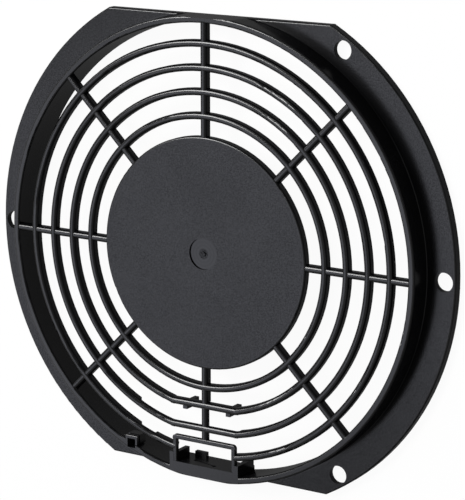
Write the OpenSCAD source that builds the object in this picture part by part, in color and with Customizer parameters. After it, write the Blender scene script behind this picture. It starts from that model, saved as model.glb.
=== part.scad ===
// Guard grille of a round axial fan, moulded in one piece of black plastic.
// The back face of the flange lies on z = 0, the grille's front faces +Z,
// and the plug bay is at the bottom, towards -Y.

/* [Screw holes] */
// Diameter of the circle that the screw holes lie on
hole_circle_d = 162; // [150:0.5:180]
// Diameter of a screw hole
hole_d = 6; // [4:0.1:8]
// Angle of the two corner holes from the X axis
corner_hole_angle = 56; // [40:1:58]
// Growth of a hole's radius at its bevelled back edge
hole_bevel = 0.7; // [0.2:0.1:0.8]
// Depth of that bevel
hole_bevel_depth = 1; // [0.3:0.1:1.5]

/* [Flange] */
// Land between a screw hole and the flange's round edge
edge_land = 1; // [1:0.1:4]
// Land between the wall and a screw hole
hole_land = 2.8; // [1.5:0.1:5]
// Wall left between the bore and each of the two flats
flat_wall = 1.5; // [1.3:0.1:6]
// Thickness of the flange
flange_t = 3; // [2:0.1:5]
// Rounding of the flange's front edge
flange_edge_r = 0.5; // [0.3:0.1:0.9]

/* [Wall] */
// Height from the back face to the front
grille_h = 11; // [10:0.5:20]
// Thickness of the wall
wall_t = 2.2; // [1.6:0.1:3]
// Growth of the wall's radius from the front to the back
wall_draft = 0.15; // [0.1:0.05:0.5]
// Rounding of the rim's two edges
rim_r = 0.6; // [0.2:0.1:0.7]
// Size of the bevel between the wall and the flange
wall_foot = 0.2; // [0.2:0.1:1]

/* [Grille bars] */
// Number of rings between the hub and the wall
ring_count = 4; // [4:1:5]
// Number of spokes
spoke_count = 8; // [4:4:16]
// Width of a bar
bar_w = 2.3; // [2.3:0.2:2.5]
// Depth of a bar
bar_depth = 2.6; // [2.4:0.1:4]
// Rounding of a bar's front edges
bar_round = 1; // [0.5:0.1:1.1]
// Distance of the spokes' crests behind the rings' crests
spoke_drop = 0.2; // [0.1:0.1:0.4]

/* [Hub] */
// Diameter of the hub
hub_d = 75; // [60:1:80]
// Thickness of the hub
hub_t = 2.6; // [2:0.1:4]
// Rounding of the hub's front edge
hub_round = 0.6; // [0.4:0.1:1.5]
// Diameter of the round recess in the middle
recess_d = 10.2; // [6:0.2:20]
// Depth of that recess
recess_depth = 0.5; // [0.2:0.1:1]
// Diameter of the gate stub in the recess
gate_d = 1.6; // [0.8:0.1:3]
// Height of the gate stub
gate_h = 0.3; // [0.1:0.1:0.5]

/* [Plug bay] */
// Width of the plug window
window_w = 20.8; // [16:0.2:24]
// Height of the plug window
window_h = 7.5; // [6:0.5:8]
// Height of the floor block under the window
floor_h = 4.1; // [3:0.1:5]
// Width of the bars that frame the window
frame_w = 1.6; // [1.2:0.1:2]
// Rounding of these bars' front edges
frame_round = 0.4; // [0.2:0.1:0.5]
// Rounding of the window frame's upper corners
frame_corner_r = 1.2; // [0.5:0.1:1.8]
// Distance of the frame's crest behind the rings' crests
frame_drop = 0.1; // [0.05:0.05:0.2]
// Depth of the frame and of the thin bars in front of the plug and its cable
thin_depth = 1.25; // [1.1:0.05:1.8]
// First ring that runs straight across the bay
first_straight_ring = 2; // [1:1:3]
// Depth of that ring's straight stretch, which carries the pegs
peg_bar_depth = 2.3; // [1.9:0.1:2.3]
// Depth of the spoke in front of the plug
plug_spoke_depth = 1.7; // [1.2:0.1:2.2]
// Distance by which the thinned stretches reach past the window frame
thin_margin = 1; // [0.8:0.1:2]

/* [Plug pegs] */
// Distance between the middles of the two plug pegs
peg_span = 16.4; // [8:0.2:20]
// Width of a peg
peg_w = 1.6; // [1.2:0.1:4]
// Height of a peg from its top to its underside
peg_h = 2.5; // [1.6:0.1:4]
// Distance of the pegs' top above the underside of their bar
peg_lap = 1; // [0.5:0.1:1.5]
// Length of the pegs behind their bar
peg_length = 6.6; // [2:0.1:7]

/* [Bay floor] */
// Setback of the floor block from the back face
floor_setback = 0.8; // [0.3:0.1:0.8]
// Height of the rib behind the left post, above the floor
rib_h = 3; // [1:0.1:5]
// Length of that rib behind the frame
rib_length = 6.5; // [3:0.1:8]
// Width of the cheeks beside the two posts
cheek_w = 1.1; // [0.8:0.1:2]
// Height of the left cheek above the floor
left_cheek_h = 3.1; // [1:0.1:4]
// Depth of the left cheek behind the front
left_cheek_depth = 2; // [1:0.1:8]
// Height of the right cheek above the floor
right_cheek_h = 2.4; // [1:0.1:4]
// Distance of the right cheek from the back face
right_cheek_setback = 1.3; // [0.9:0.1:3]
// Width of the plug stop
stop_w = 4.3; // [3:0.1:6]
// Height of the plug stop above the floor
stop_h = 1.7; // [1:0.1:3]
// Thickness of the plug stop
stop_t = 1.5; // [0.8:0.1:1.6]
// Distance of the stop's middle left of the bay's middle
stop_offset = 6.3; // [0:0.1:6.5]
// Distance of the stop's front from the back face
stop_z = 3; // [2.5:0.1:5]
// Length of the slit in the floor, between its two end holes
slit_length = 8.6; // [4:0.2:10]
// Turn of the slit, in degrees
slit_turn = 13; // [0:1:20]
// Width of the slit
slit_w = 0.5; // [0.4:0.1:1]
// Depth of the slit
slit_depth = 1; // [0.5:0.1:2]
// Diameter of the slit's end holes
slit_end_d = 1.3; // [1.1:0.1:2]
// Distance of the slit's middle left of the bay's middle
slit_offset = 1.6; // [0:0.1:3]
// Distance of the slit's middle behind the front
slit_setback = 3.3; // [2.5:0.1:4.5]

/* [Cable eye] */
// Distance of the eye's middle left of the bay's middle
eye_offset = 28.3; // [26:0.1:34]
// Width of the eye
eye_w = 4.5; // [3:0.1:6]
// Thickness of the eye's sides
eye_side_t = 0.7; // [0.6:0.1:1]
// Thickness of the eye's top bar
eye_top_t = 1.2; // [0.8:0.1:1.5]
// Height of the eye above the wall's bore
eye_h = 2.7; // [2:0.1:5]
// Height of the hole in the eye
eye_hole_h = 3.1; // [1.5:0.1:3.2]
// Depth of the eye behind the front
eye_depth = 5; // [4:0.1:7]
// Thickness of the eye's front plate
eye_plate_t = 1; // [0.7:0.1:1.5]
// Rounding of the front plate's upper edge
eye_plate_r = 0.5; // [0.2:0.1:0.6]
// Width of the groove behind the front plate
eye_groove_w = 0.8; // [0.4:0.1:1.2]
// Depth of that groove
eye_groove_depth = 0.3; // [0.1:0.05:0.4]
// Width of the flat on the rim around the eye
eye_flat_w = 7.2; // [5.5:0.1:10]
// Width of the cable slot behind the outer rings, beside the eye
slot_w = 6.2; // [4:0.1:6.6]
// Distance of the cable slot's middle left of the bay's middle
slot_offset = 22.6; // [19:0.1:26]

/* [Hidden] */
$fn = 96;

plastic = [0.16, 0.16, 0.17];
// Length by which a piece runs into the one that carries it
lap = 0.5;
// Length by which a cut runs past the surface
past = 1;
// Distance by which a filling piece stays inside the face it fills
inset = 0.05;

// The wall fits inside the screw holes, and the flange runs round outside them
hole_circle_r = hole_circle_d / 2;
hole_r = hole_d / 2;
flange_r = hole_circle_r + hole_r + edge_land;
rim_outer_r = hole_circle_r - hole_r - hole_land;
bore_r = rim_outer_r - wall_t;
flat_y = bore_r + flat_wall;
hub_r = hub_d / 2;
// Radii grow towards the back in proportion to the distance from the front
function drafted(r, z) = r + wall_draft * (grille_h - z) / grille_h;

// Equal clear gaps between the hub, the rings and the wall
ring_gap = (bore_r - hub_r - ring_count * bar_w) / (ring_count + 1);
function ring_r(k) = hub_r + k * (ring_gap + bar_w) - bar_w / 2;

// The bay stands on the lowest point of the wall's rim
bay_base = min(flat_y, rim_outer_r);
bay_half = window_w / 2 + frame_w;
floor_half = bay_half + cheek_w;
floor_y = bay_base - floor_h;
frame_y = floor_y - window_h - frame_w / 2;
frame_x = window_w / 2 + frame_w / 2;
thin_z = grille_h - thin_depth;

// Distance of a straight stretch from the axis, where it leaves its ring at the bay's side
function chord_y(r) = sqrt(r * r - bay_half * bay_half);
first_chord = chord_y(ring_r(first_straight_ring));
// A ring runs straight across the bay while it clears the frame, and ends at the frame beyond that
function runs_straight(k) =
    k >= first_straight_ring && chord_y(ring_r(k)) + bar_w < frame_y - frame_w / 2;
function ends_at_frame(k) = k >= first_straight_ring && !runs_straight(k);

// Height of the wall's bore below the axis, at the eye's middle
eye_bore_y = sqrt(bore_r * bore_r - eye_offset * eye_offset);
eye_top_y = eye_bore_y - eye_h;

// Section of a bar, with its crest on y = 0 and its back at -depth
module bar_section(depth, width = bar_w, round = bar_round) {
    translate([-width / 2, -depth])
        square([width, depth - round]);
    translate([-width / 2 + round, -depth])
        square([width - 2 * round, depth]);
    for (side = [-1, 1])
        translate([side * (width / 2 - round), -round])
            circle(round);
}

// Bar along +X from the origin
module straight_bar(length, depth) {
    rotate([90, 0, 90])
        linear_extrude(length)
            bar_section(depth);
}

// Bar of the window frame along +X from the origin
module frame_bar(length) {
    rotate([90, 0, 90])
        linear_extrude(length)
            bar_section(thin_depth, frame_w, frame_round);
}

// Bar along an arc about the Z axis
module curved_bar(radius, start, sweep, depth) {
    rotate([0, 0, start])
        rotate_extrude(angle = sweep)
            translate([radius, 0])
                bar_section(depth);
}

// Ring with a straight stretch across the bay; the two overlap at the kinks
module straightened_ring(r) {
    reach = bay_half + bar_w / 4;
    turn = asin((bay_half - bar_w / 4) / r);
    curved_bar(r, turn - 90, 360 - 2 * turn, bar_depth);
    translate([-reach, -chord_y(r), 0])
        straight_bar(2 * reach, bar_depth);
}

// Ring that ends in the two posts of the window frame
module open_ring(r) {
    turn = asin(frame_x / r);
    curved_bar(r, turn - 90, 360 - 2 * turn, bar_depth);
}

module ring(k) {
    r = ring_r(k);
    translate([0, 0, grille_h])
        if (runs_straight(k))
            straightened_ring(r);
        else if (ends_at_frame(k))
            open_ring(r);
        else
            curved_bar(r, 0, 360, bar_depth);
}

// Space behind the bars in front of the plug, which leaves them with the given depth
module plug_space(depth, left = bay_half + thin_margin) {
    right = bay_half + thin_margin;
    translate([-left, -bay_base, 0])
        cube([left + right, bay_base - first_chord + bar_w / 2, grille_h - depth]);
}

// Space for the cable behind the outer rings
module cable_space() {
    translate([-slot_offset - slot_w / 2, -bay_base, 0])
        cube([slot_w, bay_base - first_chord - bar_w / 2, thin_z]);
}

module rings() {
    for (k = [1:ring_count])
        difference() {
            ring(k);
            if (k == first_straight_ring)
                plug_space(peg_bar_depth);
            else if (runs_straight(k))
                plug_space(thin_depth, slot_offset + slot_w / 2);
            else if (ends_at_frame(k))
                cable_space();
        }
}

// Spokes run from inside the hub to inside the wall, and the lowest one ends at the window frame
module spokes() {
    start = hub_r - hub_round - lap;
    for (i = [0:spoke_count - 1]) {
        angle = 360 * i / spoke_count - 90;
        end = i == 0 ? frame_y : bore_r + flat_wall / 2;
        difference() {
            rotate([0, 0, angle])
                translate([start, 0, grille_h - spoke_drop])
                    straight_bar(end - start, bar_depth);
            if (i == 0)
                plug_space(spoke_drop + plug_spoke_depth);
        }
    }
}

module hub() {
    back = grille_h - hub_t;
    difference() {
        rotate_extrude() {
            translate([0, back])
                square([hub_r, hub_t - hub_round]);
            translate([0, back])
                square([hub_r - hub_round, hub_t]);
            translate([hub_r - hub_round, grille_h - hub_round])
                circle(hub_round);
        }
        translate([0, 0, grille_h - recess_depth])
            cylinder(d = recess_d, h = recess_depth + past);
    }
    translate([0, 0, back + lap])
        cylinder(d = gate_d, h = hub_t - lap - recess_depth + gate_h);
}

// Everything outside the two flats
module beyond_flats() {
    for (side = [0, 180])
        rotate([0, 0, side])
            translate([-2 * flange_r, flat_y, -past])
                cube([4 * flange_r, flange_r, grille_h + 2 * past]);
}

// Strip that rounds the flange's front edge along a flat
module flat_edge_cutter() {
    for (side = [0, 180])
        rotate([0, 0, side])
            translate([-flange_r, flat_y - flange_edge_r, flange_t - flange_edge_r])
                rotate([90, 0, 90])
                    linear_extrude(2 * flange_r)
                        difference() {
                            square(flange_edge_r + past);
                            circle(flange_edge_r);
                        }
}

// Screw holes, bevelled at the back
module screw_holes() {
    for (angle = [0, corner_hole_angle, -corner_hole_angle, 180])
        rotate([0, 0, angle])
            translate([hole_circle_r, 0, 0]) {
                translate([0, 0, -past])
                    cylinder(r = hole_r, h = flange_t + 2 * past);
                cylinder(r1 = hole_r + hole_bevel, r2 = hole_r, h = hole_bevel_depth);
            }
}

module flange() {
    inner = bore_r + wall_draft + lap;
    difference() {
        rotate_extrude() {
            translate([inner, 0])
                square([flange_r - inner, flange_t - flange_edge_r]);
            translate([inner, 0])
                square([flange_r - flange_edge_r - inner, flange_t]);
            translate([flange_r - flange_edge_r, flange_t - flange_edge_r])
                circle(flange_edge_r);
        }
        beyond_flats();
        flat_edge_cutter();
        screw_holes();
    }
}

// Drafted wall with a rounded rim and a bevelled foot on the flange
module wall_section() {
    shoulder = grille_h - rim_r;
    foot = flange_t + wall_foot;
    polygon([
        [drafted(bore_r, 0), 0],
        [drafted(rim_outer_r, 0), 0],
        [drafted(rim_outer_r, flange_t) + wall_foot, flange_t],
        [drafted(rim_outer_r, foot), foot],
        [rim_outer_r, shoulder],
        [bore_r, shoulder]
    ]);
    translate([bore_r + rim_r, shoulder])
        square([wall_t - 2 * rim_r, rim_r]);
    for (r = [bore_r + rim_r, rim_outer_r - rim_r])
        translate([r, shoulder])
            circle(rim_r);
}

module wall() {
    difference() {
        union() {
            rotate_extrude()
                wall_section();
            eye_flat();
            cable_eye();
        }
        beyond_flats();
        eye_hole();
    }
}

// Corner of the window frame to be cut away, right side
module frame_corner() {
    translate([bay_half - frame_corner_r, frame_w / 2 - frame_y - frame_corner_r, thin_z - past])
        linear_extrude(thin_depth + 2 * past)
            difference() {
                square(frame_corner_r + past);
                circle(frame_corner_r);
            }
}

// Window frame: two posts and a top bar with rounded corners
module window_frame() {
    difference() {
        translate([0, 0, grille_h - frame_drop]) {
            translate([-bay_half, -frame_y, 0])
                frame_bar(2 * bay_half);
            for (side = [-1, 1])
                translate([side * frame_x, -frame_y, 0])
                    rotate([0, 0, -90])
                        frame_bar(floor_y + lap - frame_y);
        }
        frame_corner();
        mirror([1, 0, 0])
            frame_corner();
    }
}

// Slit in the floor, with a round hole at each end
module floor_slit() {
    translate([-slit_offset, -floor_y - slit_depth, grille_h - slit_setback])
        rotate([0, -slit_turn, 0]) {
            for (end = [-1, 1])
                translate([end * slit_length / 2, 0, 0])
                    rotate([-90, 0, 0])
                        cylinder(d = slit_end_d, h = slit_depth + past, $fn = 32);
            translate([-slit_length / 2, 0, -slit_w / 2])
                cube([slit_length, slit_depth + past, slit_w]);
        }
}

// Cheek beside a post, right side
module cheek(height, depth) {
    translate([bay_half - lap, -floor_y - lap, grille_h - depth])
        cube([cheek_w + lap, height + lap, depth]);
}

// Solid floor of the bay, with its cheeks, the rib behind the left post and the stop for the plug
module bay_floor() {
    base = bay_base - rim_r;
    difference() {
        translate([-floor_half, -base, floor_setback])
            cube([2 * floor_half, base - floor_y, grille_h - floor_setback]);
        floor_slit();
    }
    cheek(right_cheek_h, grille_h - right_cheek_setback);
    mirror([1, 0, 0])
        cheek(left_cheek_h, left_cheek_depth);
    translate([-bay_half, -floor_y - lap, thin_z - rib_length])
        cube([frame_w, rib_h + lap, rib_length + lap / 2]);
    translate([-stop_offset - stop_w / 2, -floor_y - lap, stop_z - stop_t])
        cube([stop_w, stop_h + lap, stop_t]);
}

// Two pegs behind the first straight bar, which hold the plug
module plug_pegs() {
    top = first_chord + bar_w / 2 - peg_lap;
    root_z = grille_h - peg_bar_depth;
    for (side = [-1, 1])
        translate([side * peg_span / 2 - peg_w / 2, -top - peg_h, root_z - peg_length])
            cube([peg_w, peg_h, peg_length + lap]);
}

// Stretch of the rim around the eye that is flat to its edges
module eye_flat() {
    intersection() {
        rotate_extrude()
            translate([bore_r + inset, grille_h - eye_depth])
                square([wall_t - 2 * inset, eye_depth - inset]);
        translate([-eye_offset - eye_flat_w / 2, -flange_r, 0])
            cube([eye_flat_w, flange_r, grille_h + past]);
    }
}

// Front plate of the eye, with its upper edge rounded, seen along X
module eye_plate_section() {
    bottom = -eye_bore_y - lap;
    top = -eye_top_y;
    back = grille_h - eye_plate_t;
    translate([bottom, back])
        square([top - eye_plate_r - bottom, eye_plate_t]);
    translate([bottom, back])
        square([top - bottom, eye_plate_t - eye_plate_r]);
    translate([top - eye_plate_r, grille_h - eye_plate_r])
        circle(eye_plate_r);
}

// Square eye for the cable: a front plate, a groove behind it and the body
module cable_eye() {
    left = -eye_offset - eye_w / 2;
    bottom = -eye_bore_y - lap;
    body_depth = eye_depth - eye_plate_t - eye_groove_w;
    translate([left, 0, 0])
        rotate([90, 0, 90])
            linear_extrude(eye_w)
                eye_plate_section();
    translate([left, bottom, grille_h - eye_depth])
        cube([eye_w, eye_h + lap, body_depth]);
    translate([left + eye_groove_depth, bottom, grille_h - eye_depth + lap])
        cube([eye_w - 2 * eye_groove_depth, eye_h + lap - eye_groove_depth, eye_depth - 2 * lap]);
}

module eye_hole() {
    hole_w = eye_w - 2 * eye_side_t;
    bottom = -eye_top_y - eye_top_t - eye_hole_h;
    translate([-eye_offset - hole_w / 2, bottom, grille_h - eye_depth])
        cube([hole_w, eye_hole_h, eye_depth + past]);
}

module fan_grille() {
    color(plastic) {
        flange();
        wall();
        hub();
        rings();
        spokes();
        window_frame();
        bay_floor();
        plug_pegs();
    }
}

fan_grille();
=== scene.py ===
"""Looks of a black plastic guard grille for a round axial fan.

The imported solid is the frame. It lies on the back of its flange, with the grille's front
up and the plug bay towards -Y. Lengths are in metres, and sizes given in millimetres are
multiplied by MM.
"""

import logging
import math
from dataclasses import dataclass, field
from enum import Enum

import bpy
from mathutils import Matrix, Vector

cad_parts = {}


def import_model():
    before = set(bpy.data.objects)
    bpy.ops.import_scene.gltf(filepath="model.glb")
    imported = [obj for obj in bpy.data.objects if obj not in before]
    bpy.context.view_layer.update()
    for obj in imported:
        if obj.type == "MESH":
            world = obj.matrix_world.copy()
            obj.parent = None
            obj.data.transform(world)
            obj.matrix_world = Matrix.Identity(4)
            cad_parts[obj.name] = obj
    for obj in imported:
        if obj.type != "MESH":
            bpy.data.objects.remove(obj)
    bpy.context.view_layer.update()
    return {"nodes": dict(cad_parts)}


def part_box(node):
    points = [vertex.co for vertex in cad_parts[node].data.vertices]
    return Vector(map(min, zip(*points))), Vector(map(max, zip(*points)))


LOG = logging.getLogger("fan_grille")

MM = 0.001
GRILLE_NODE = "fan_grille"

Colour = tuple[float, float, float]
Place = tuple[float, float, float]
Span = tuple[float, float]
Socket = bpy.types.NodeSocket
Value = float | Socket

WHITE: Colour = (1.0, 1.0, 1.0)
OPAQUE = 1.0
NONE_TO_ALL: Span = (0.0, 1.0)


class Sheet:
    """A node tree, with short calls that add its nodes and wire them."""

    def __init__(self, tree: bpy.types.NodeTree) -> None:
        """Take hold of a tree."""
        self.tree = tree

    def add(self, kind: str, **settings: object) -> bpy.types.Node:
        """Add a node.

        Args:
            kind: The node's type, as the program names it.
            settings: Properties to set on the node.

        Returns:
            The new node.
        """
        node = self.tree.nodes.new(kind)
        for name, value in settings.items():
            setattr(node, name, value)
        return node

    def feed(self, socket: Socket, value: object) -> None:
        """Wire a socket to another node's output, or set it to a plain value.

        Args:
            socket: The input to feed.
            value: The output to wire it to, or its plain value.
        """
        if isinstance(value, Socket):
            self.tree.links.new(value, socket)
        else:
            socket.default_value = value

    def math(self, operation: str, *terms: Value) -> Socket:
        """Add one step of arithmetic.

        Args:
            operation: The step, as the Math node names it.
            terms: What the step works on.

        Returns:
            The socket that holds the outcome.
        """
        node = self.add("ShaderNodeMath", operation=operation)
        for socket, term in zip(node.inputs, terms):
            self.feed(socket, term)
        return node.outputs["Value"]

    def blend(self, value: Value, span: Span, ends: Span = NONE_TO_ALL) -> Socket:
        """Turn a span of values smoothly into another.

        Args:
            value: The value that changes.
            span: Where the change starts and ends.
            ends: What comes out before the start and after the end.

        Returns:
            The socket that holds the outcome.
        """
        node = self.add("ShaderNodeMapRange", interpolation_type="SMOOTHSTEP")
        names = ("Value", "From Min", "From Max", "To Min", "To Max")
        for name, term in zip(names, (value, *span, *ends)):
            self.feed(node.inputs[name], term)
        return node.outputs["Result"]

    def noise(self, place: Socket, frequency: Value, detail: float) -> Socket:
        """Add a cloud of noise, from 0 to 1.

        Args:
            place: The point that the noise is read at.
            frequency: How many swells go into a metre.
            detail: How many finer layers lie on it.

        Returns:
            The socket that holds the noise.
        """
        node = self.add("ShaderNodeTexNoise")
        self.feed(node.inputs["Vector"], place)
        self.feed(node.inputs["Scale"], frequency)
        node.inputs["Detail"].default_value = detail
        return node.outputs["Fac"]

    def tint(self, share: Value, first: Colour, second: Colour) -> Socket:
        """Mix two colours.

        Args:
            share: How much of the second colour shows.
            first: The colour at a share of 0.
            second: The colour at a share of 1.

        Returns:
            The socket that holds the mixed colour.
        """
        node = self.add("ShaderNodeMix", data_type="RGBA")
        sockets = {socket.identifier: socket for socket in node.inputs}
        self.feed(sockets["Factor_Float"], share)
        sockets["A_Color"].default_value = (*first, OPAQUE)
        sockets["B_Color"].default_value = (*second, OPAQUE)
        return next(s for s in node.outputs if s.identifier == "Result_Color")

    def off_axis(self, place: Socket) -> tuple[Socket, Socket]:
        """Split a point into its distance from the grille's axis and its height.

        Args:
            place: The point.

        Returns:
            The sockets that hold the distance and the height.
        """
        point = self.add("ShaderNodeSeparateXYZ")
        self.feed(point.inputs["Vector"], place)
        across, along, height = point.outputs
        along_square = self.math("MULTIPLY", along, along)
        square = self.math("MULTIPLY_ADD", across, across, along_square)
        return self.math("SQRT", square), height

    def seen(self) -> Socket:
        """Tell rays that look at a backdrop, straight or by gloss or glass, from light.

        Returns:
            The socket that holds 1 for a ray that looks, and 0 for light.
        """
        path = self.add("ShaderNodeLightPath").outputs
        looked = self.math("MAXIMUM", path["Is Camera Ray"], path["Is Glossy Ray"])
        return self.math("MAXIMUM", looked, path["Is Transmission Ray"])

    def effect(self, tree: bpy.types.NodeTree, **inputs: Value) -> bpy.types.Node:
        """Place a shared effect.

        Args:
            tree: The effect's group.
            inputs: Values for its named inputs.

        Returns:
            The node that holds the group.
        """
        node = self.add("ShaderNodeGroup", node_tree=tree)
        for name, value in inputs.items():
            self.feed(node.inputs[name], value)
        return node


class Port(Enum):
    """Kinds of socket that a shared effect has."""

    NUMBER = "NodeSocketFloat"
    PLACE = "NodeSocketVector"


class Effect:
    """A shared effect: a node group with named inputs and outputs."""

    def __init__(self, name: str, inputs: dict[str, Port], outputs: dict[str, Port]) -> None:
        """Start an empty group.

        Args:
            name: The group's name.
            inputs: Names and kinds of its inputs.
            outputs: Names and kinds of its outputs.
        """
        self.tree = bpy.data.node_groups.new(name, "ShaderNodeTree")
        for side, ports in (("INPUT", inputs), ("OUTPUT", outputs)):
            for port, kind in ports.items():
                self.tree.interface.new_socket(port, in_out=side, socket_type=kind.value)
        self.sheet = Sheet(self.tree)
        self.given = self.sheet.add("NodeGroupInput").outputs
        self.result = self.sheet.add("NodeGroupOutput").inputs


@dataclass(frozen=True)
class SparkGrain:
    """The fine texture that spark erosion leaves in a mould."""

    fine_share: float = 0.35
    fine_step: float = 2.3
    layers: float = 2.0
    speckle_span: Span = (0.36, 0.64)

    def build(self) -> bpy.types.NodeTree:
        """Build the effect: a height and a speckle, both from 0 to 1.

        Returns:
            The effect's group.
        """
        effect = Effect(
            "spark_grain",
            {"Position": Port.PLACE, "Size": Port.NUMBER},
            {"Height": Port.NUMBER, "Speckle": Port.NUMBER},
        )
        sheet = effect.sheet
        frequency = sheet.math("DIVIDE", 1.0, effect.given["Size"])
        coarse = sheet.noise(effect.given["Position"], frequency, self.layers)
        finer = sheet.math("MULTIPLY", frequency, self.fine_step)
        fine = sheet.noise(effect.given["Position"], finer, self.layers)
        lump = sheet.math("MULTIPLY", coarse, 1.0 - self.fine_share)
        height = sheet.math("MULTIPLY_ADD", fine, self.fine_share, lump)
        sheet.feed(effect.result["Height"], height)
        sheet.feed(effect.result["Speckle"], sheet.blend(height, self.speckle_span))
        return effect.tree


@dataclass(frozen=True)
class FlowMottle:
    """The faint clouds that the flow of the melt leaves in a moulded face."""

    layers: float = 3.0
    cloud_span: Span = (0.3, 0.7)

    def build(self) -> bpy.types.NodeTree:
        """Build the effect: one mottle, from 0 to 1.

        Returns:
            The effect's group.
        """
        effect = Effect(
            "flow_mottle",
            {"Position": Port.PLACE, "Size": Port.NUMBER},
            {"Mottle": Port.NUMBER},
        )
        sheet = effect.sheet
        frequency = sheet.math("DIVIDE", 1.0, effect.given["Size"])
        clouds = sheet.noise(effect.given["Position"], frequency, self.layers)
        sheet.feed(effect.result["Mottle"], sheet.blend(clouds, self.cloud_span))
        return effect.tree


@dataclass(frozen=True)
class RingZone:
    """A flat ring-shaped stretch of the grille, across its axis."""

    softness: float = 0.25 * MM
    reach: float = 0.6 * MM

    def build(self) -> bpy.types.NodeTree:
        """Build the effect: a mask of the ring between two radii at one height.

        Returns:
            The effect's group.
        """
        effect = Effect(
            "ring_zone",
            {
                "Position": Port.PLACE,
                "Inner": Port.NUMBER,
                "Outer": Port.NUMBER,
                "Height": Port.NUMBER,
            },
            {"Mask": Port.NUMBER},
        )
        sheet = effect.sheet
        radius, height = sheet.off_axis(effect.given["Position"])
        past_inner = sheet.math("SUBTRACT", radius, effect.given["Inner"])
        before_outer = sheet.math("SUBTRACT", effect.given["Outer"], radius)
        depth = sheet.math("MINIMUM", past_inner, before_outer)
        ring = sheet.blend(depth, (-self.softness, self.softness))
        rise = sheet.math("SUBTRACT", height, effect.given["Height"])
        level = sheet.math("LESS_THAN", sheet.math("ABSOLUTE", rise), self.reach)
        sheet.feed(effect.result["Mask"], sheet.math("MULTIPLY", ring, level))
        return effect.tree


@dataclass(frozen=True)
class TurnedRings:
    """The fine rings that a lathe leaves in a round insert of a mould.

    The crest of a ring lies at crest_share of the pitch.
    """

    crest_share: float = 0.5

    def build(self) -> bpy.types.NodeTree:
        """Build the effect: a height from 0 to 1, in rings around the grille's axis.

        Returns:
            The effect's group.
        """
        effect = Effect(
            "turned_rings",
            {"Position": Port.PLACE, "Pitch": Port.NUMBER},
            {"Height": Port.NUMBER},
        )
        sheet = effect.sheet
        radius, _ = sheet.off_axis(effect.given["Position"])
        turns = sheet.math("DIVIDE", radius, effect.given["Pitch"])
        rise = sheet.math("PINGPONG", turns, self.crest_share)
        sheet.feed(effect.result["Height"], sheet.math("DIVIDE", rise, self.crest_share))
        return effect.tree


@dataclass(frozen=True)
class Effects:
    """The effects that the finishes share."""

    grain: bpy.types.NodeTree
    mottle: bpy.types.NodeTree
    rings: bpy.types.NodeTree
    zone: bpy.types.NodeTree

    @classmethod
    def build(cls) -> "Effects":
        """Build every shared effect once.

        Returns:
            The effects' groups.
        """
        return cls(
            grain=SparkGrain().build(),
            mottle=FlowMottle().build(),
            rings=TurnedRings().build(),
            zone=RingZone().build(),
        )

    def clouds(self, sheet: Sheet, place: Socket, size: float) -> Socket:
        """Place the mottle in a tree, with clouds of a size."""
        return sheet.effect(self.mottle, Position=place, Size=size).outputs["Mottle"]


@dataclass(frozen=True)
class Zone:
    """A flat stretch of the mould: a ring between two radii, at one height.

    An inner radius below 0 makes it a full disc.
    """

    inner: float
    outer: float
    height: float


@dataclass(frozen=True)
class MouldZones:
    """Where the mould's finish differs: grained, turned, and scarred by the gate."""

    grained: tuple[Zone, ...]
    turned: Zone
    scarred: Zone


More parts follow.
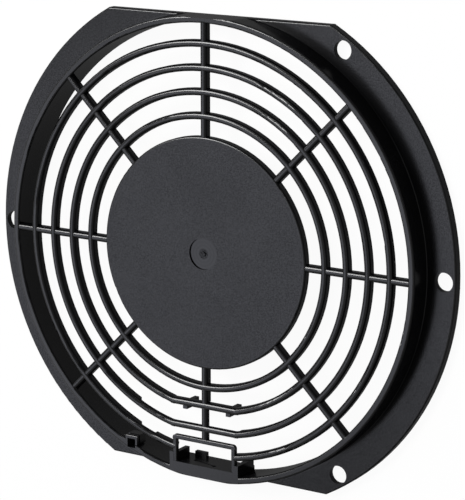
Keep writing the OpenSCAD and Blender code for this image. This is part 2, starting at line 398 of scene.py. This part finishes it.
@dataclass(frozen=True)
class BlackPlastic:
    """Moulded black plastic.

    Faces that look along the draw have a soft gloss, and are grained on the hub and the
    flange. Walls that face sideways have their gloss turned down as painted shade, so that
    they don't mirror the pale floor. The scar of the gate is dull.
    """

    name: str = "black_plastic"
    black: Colour = (0.0026, 0.0026, 0.0029)
    pale_black: Colour = (0.0048, 0.0048, 0.0054)
    speckle_share: float = 0.5
    satin_roughness: float = 0.38
    grained_roughness: float = 0.55
    mottle_roughness: float = 0.06
    gloss_roughness: float = 0.22
    base_specular: float = 0.0
    # painted shade: sideways walls keep only this share of the coat, so they don't mirror the
    # floor
    painted_shade_wall_gloss: float = 0.12
    full_gloss: float = 1.0
    gloss_span: Span = (0.74, 0.95)
    grain_size: float = 0.42 * MM
    grain_depth: float = 0.02 * MM
    grain_contrast: float = 0.50
    mottle_size: float = 14.0 * MM
    mottle_contrast: float = 0.08
    ring_pitch: float = 1.1 * MM
    ring_contrast: float = 0.14
    scar_size: float = 0.5 * MM
    scar_contrast: float = 0.85

    def build(self, effects: Effects, zones: MouldZones) -> bpy.types.Material:
        """Build the material.

        Args:
            effects: The shared effects.
            zones: Where the mould's finish differs.

        Returns:
            The finished material.
        """
        material = bpy.data.materials.new(self.name)
        material.use_nodes = True
        sheet = Sheet(material.node_tree)
        shader = material.node_tree.nodes["Principled BSDF"]
        coordinates = sheet.add("ShaderNodeTexCoord").outputs
        place = coordinates["Object"]
        grained = self.joined_mask(sheet, effects, zones.grained, place)
        turned = self.joined_mask(sheet, effects, (zones.turned,), place)
        scarred = self.joined_mask(sheet, effects, (zones.scarred,), place)
        grain = sheet.effect(effects.grain, Position=place, Size=self.grain_size).outputs
        turning = sheet.effect(effects.rings, Position=place, Pitch=self.ring_pitch)
        mottle = effects.clouds(sheet, place, self.mottle_size)
        patches = effects.clouds(sheet, place, self.scar_size)
        speckle = sheet.math("MULTIPLY", grain["Speckle"], grained)
        rings = sheet.math("MULTIPLY", turning.outputs["Height"], turned)
        scar = sheet.math("MULTIPLY", patches, scarred)

        cloudiness = sheet.math("MULTIPLY", mottle, 1.0 - self.speckle_share)
        paleness = sheet.math("MULTIPLY_ADD", speckle, self.speckle_share, cloudiness)
        base = sheet.tint(paleness, self.black, self.pale_black)
        sheet.feed(shader.inputs["Base Color"], base)

        ends = (self.satin_roughness, self.grained_roughness)
        rough = sheet.blend(grained, NONE_TO_ALL, ends)
        rough = sheet.math("MULTIPLY_ADD", mottle, self.mottle_roughness, rough)
        sheet.feed(shader.inputs["Roughness"], rough)

        # painted shade: the coat is turned down on walls by the way they face
        gloss = self.gloss_with_painted_wall_shade(sheet, coordinates["Normal"])
        clouded = sheet.math("MULTIPLY_ADD", mottle, -self.mottle_contrast, self.full_gloss)
        dotted = sheet.math("MULTIPLY_ADD", speckle, -self.grain_contrast, clouded)
        ringed = sheet.math("MULTIPLY_ADD", rings, -self.ring_contrast, dotted)
        spotted = sheet.math("MULTIPLY_ADD", scar, -self.scar_contrast, ringed)
        sheet.feed(shader.inputs["Coat Weight"], sheet.math("MULTIPLY", gloss, spotted))

        bump = sheet.add("ShaderNodeBump")
        bump.inputs["Distance"].default_value = self.grain_depth
        height = sheet.math("MULTIPLY_ADD", grain["Height"], grained, rings)
        sheet.feed(bump.inputs["Height"], height)
        sheet.feed(shader.inputs["Normal"], bump.outputs["Normal"])

        shader.inputs["Specular IOR Level"].default_value = self.base_specular
        shader.inputs["Coat Roughness"].default_value = self.gloss_roughness
        return material

    def joined_mask(
        self, sheet: Sheet, effects: Effects, zones: tuple[Zone, ...], place: Socket
    ) -> Value:
        """Join the masks of some zones.

        Args:
            sheet: The material's tree.
            effects: The shared effects.
            zones: The zones.
            place: The point on the surface.

        Returns:
            The joined mask.
        """
        joined: Value = 0.0
        for zone in zones:
            ring = sheet.effect(
                effects.zone,
                Position=place,
                Inner=zone.inner,
                Outer=zone.outer,
                Height=zone.height,
            )
            joined = sheet.math("MAXIMUM", ring.outputs["Mask"], joined)
        return joined

    def gloss_with_painted_wall_shade(self, sheet: Sheet, normal: Socket) -> Socket:
        """Paint shade on the walls by turning their gloss down by the way they face.

        Args:
            sheet: The material's tree.
            normal: The surface's direction in the part's own frame.

        Returns:
            The share of the full gloss.
        """
        direction = sheet.add("ShaderNodeSeparateXYZ")
        sheet.feed(direction.inputs["Vector"], normal)
        along_draw = sheet.math("ABSOLUTE", direction.outputs["Z"])
        return sheet.blend(along_draw, self.gloss_span, (self.painted_shade_wall_gloss, self.full_gloss))


@dataclass(frozen=True)
class PaleFloor:
    """Matte white board, which shows white but keeps a light shadow."""

    name: str = "pale_floor"
    white: Colour = (0.90, 0.90, 0.90)
    off_white: Colour = (0.86, 0.86, 0.86)
    roughness: float = 0.9
    mottle_size: float = 300.0 * MM
    glow: float = 0.95

    def build(self, effects: Effects) -> bpy.types.Material:
        """Build the material.

        Args:
            effects: The shared effects.

        Returns:
            The finished material.
        """
        material = bpy.data.materials.new(self.name)
        material.use_nodes = True
        sheet = Sheet(material.node_tree)
        lit = material.node_tree.nodes["Principled BSDF"]
        place = sheet.add("ShaderNodeTexCoord").outputs["Object"]
        mottle = effects.clouds(sheet, place, self.mottle_size)
        sheet.feed(lit.inputs["Base Color"], sheet.tint(mottle, self.white, self.off_white))
        lit.inputs["Roughness"].default_value = self.roughness

        mix = sheet.add("ShaderNodeMixShader")
        share, plain, glowing = mix.inputs
        sheet.feed(share, sheet.math("MULTIPLY", sheet.seen(), self.glow))
        sheet.feed(plain, lit.outputs["BSDF"])
        sheet.feed(glowing, sheet.add("ShaderNodeEmission").outputs["Emission"])
        output = material.node_tree.nodes["Material Output"]
        sheet.feed(output.inputs["Surface"], mix.outputs["Shader"])
        return material


@dataclass
class FanGrille:
    """The moulded grille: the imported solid, dressed in its finish.

    Radii and depths follow the part's source, apart from the scar's.
    """

    solid: bpy.types.Object
    hub_face_r: float = 36.8 * MM
    recess_r: float = 5.1 * MM
    recess_depth: float = 0.5 * MM
    gate_r: float = 0.8 * MM
    scar_r: float = 1.6 * MM
    flange_t: float = 3.0 * MM
    flange_inner_r: float = 75.9 * MM
    edge_round: float = 0.5 * MM
    zone_gap: float = 0.1 * MM
    plastic: BlackPlastic = field(default_factory=BlackPlastic)

    def mould_zones(self) -> MouldZones:
        """Find where the mould's finish differs.

        Returns:
            The fronts of hub and flange, the floor of the hub's recess and the gate's scar.
        """
        low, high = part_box(self.solid.name)
        flange_r = (high.x - low.x) / 2 - self.edge_round
        recess_z = high.z - self.recess_depth
        hub = Zone(self.recess_r + self.zone_gap, self.hub_face_r, high.z)
        flange = Zone(self.flange_inner_r, flange_r, low.z + self.flange_t)
        recess = Zone(self.gate_r + self.zone_gap, self.recess_r - self.zone_gap, recess_z)
        scar = Zone(-self.scar_r, self.scar_r, recess_z)
        return MouldZones(grained=(hub, flange), turned=recess, scarred=scar)

    def dress(self, effects: Effects) -> None:
        """Give the solid its finish.

        Args:
            effects: The shared effects.
        """
        material = self.plastic.build(effects, self.mould_zones())
        self.solid.data.materials.clear()
        self.solid.data.materials.append(material)
        LOG.info("dressed %s in %s", self.solid.name, material.name)


@dataclass(frozen=True)
class SoftBox:
    """A rectangular studio lamp that points at the grille.

    A brightness of 1 looks white when it is mirrored in full.
    """

    name: str
    place: Place
    width: float
    height: float
    brightness: float
    colour: Colour = WHITE

    def build(self) -> None:
        """Add the lamp to the scene."""
        lamp = bpy.data.lights.new(self.name, "AREA")
        lamp.shape = "RECTANGLE"
        lamp.size = self.width
        lamp.size_y = self.height
        lamp.energy = self.brightness * math.pi * self.width * self.height
        lamp.color = self.colour
        holder = bpy.data.objects.new(self.name, lamp)
        holder.location = self.place
        holder.rotation_euler = Vector(self.place).to_track_quat("Z", "Y").to_euler()
        bpy.context.scene.collection.objects.link(holder)
        LOG.info("lit by %s", self.name)


@dataclass
class Studio:
    """Camera, floor and light.

    The camera's place, turn and focal length were fitted to the photograph.
    """

    image_size: tuple[int, int] = (465, 500)
    focal_px: float = 2237.7
    camera_place: Place = (0.37660, 0.16269, 0.58438)
    camera_turn_deg: tuple[float, float, float] = (-13.24, 32.51, -0.01)
    sensor: float = 36.0
    clip_start: float = 0.01
    floor_side: float = 12.0
    sky_strength: float = 0.08
    horizon_strength: float = 1.0
    zenith_strength: float = 0.34
    horizon_rise: Span = (0.05, 0.30)
    floor_finish: PaleFloor = field(default_factory=PaleFloor)
    lamps: tuple[SoftBox, ...] = (
        SoftBox(
            name="top_bank",
            place=(-0.46, 0.74, 0.66),
            width=1.6,
            height=0.16,
            brightness=6.5,
        ),
        SoftBox(
            name="crest_lamp",
            place=(-0.55, 0.41, 0.86),
            width=0.40,
            height=0.44,
            brightness=19.0,
        ),
        SoftBox(
            name="left_panel",
            place=(-0.535, -0.22, 0.925),
            width=0.40,
            height=0.68,
            brightness=1.33,
            colour=(0.94, 0.97, 1.12),
        ),
        SoftBox(
            name="right_panel",
            place=(0.95, 0.0, 0.62),
            width=1.4,
            height=0.8,
            brightness=1.1,
        ),
    )

    def build(self, effects: Effects) -> None:
        """Set up the whole studio.

        Args:
            effects: The shared effects.
        """
        self.add_camera()
        self.add_sky()
        self.add_floor(effects)
        for lamp in self.lamps:
            lamp.build()
        bpy.context.scene.view_settings.view_transform = "Standard"

    def add_camera(self) -> None:
        """Place the camera at the photograph's viewing angle."""
        data = bpy.data.cameras.new("photo_camera")
        data.sensor_width = self.sensor
        data.lens = self.focal_px * self.sensor / max(self.image_size)
        data.clip_start = self.clip_start
        camera = bpy.data.objects.new("photo_camera", data)
        camera.location = self.camera_place
        camera.rotation_euler = [math.radians(angle) for angle in self.camera_turn_deg]
        bpy.context.scene.collection.objects.link(camera)
        bpy.context.scene.camera = camera

    def add_sky(self) -> None:
        """Surround the scene with a dim room, which looks grey, and white at the horizon."""
        world = bpy.data.worlds.new("studio")
        bpy.context.scene.world = world
        world.use_nodes = True
        sheet = Sheet(world.node_tree)
        direction = sheet.add("ShaderNodeSeparateXYZ")
        towards = sheet.add("ShaderNodeTexCoord").outputs["Generated"]
        sheet.feed(direction.inputs["Vector"], towards)
        at_horizon = self.horizon_strength - self.sky_strength
        at_zenith = self.zenith_strength - self.sky_strength
        excess = sheet.blend(direction.outputs["Z"], self.horizon_rise, (at_horizon, at_zenith))
        sky = world.node_tree.nodes["Background"]
        sky.inputs["Color"].default_value = (*WHITE, OPAQUE)
        strength = sheet.math("MULTIPLY_ADD", excess, sheet.seen(), self.sky_strength)
        sheet.feed(sky.inputs["Strength"], strength)

    def add_floor(self, effects: Effects) -> None:
        """Add a pale floor that keeps a light shadow.

        Args:
            effects: The shared effects.
        """
        half = self.floor_side / 2
        mesh = bpy.data.meshes.new("floor")
        corners = [(-half, -half, 0), (half, -half, 0), (half, half, 0), (-half, half, 0)]
        mesh.from_pydata(corners, [], [tuple(range(len(corners)))])
        mesh.materials.append(self.floor_finish.build(effects))
        floor = bpy.data.objects.new("floor", mesh)
        bpy.context.scene.collection.objects.link(floor)
        LOG.info("laid the %s", floor.name)


def main() -> None:
    """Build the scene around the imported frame."""
    logging.basicConfig(level=logging.INFO, format="%(name)s: %(message)s")
    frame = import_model()
    effects = Effects.build()
    Studio().build(effects)
    FanGrille(frame["nodes"][GRILLE_NODE]).dress(effects)


if __name__ == "__main__":
    main()
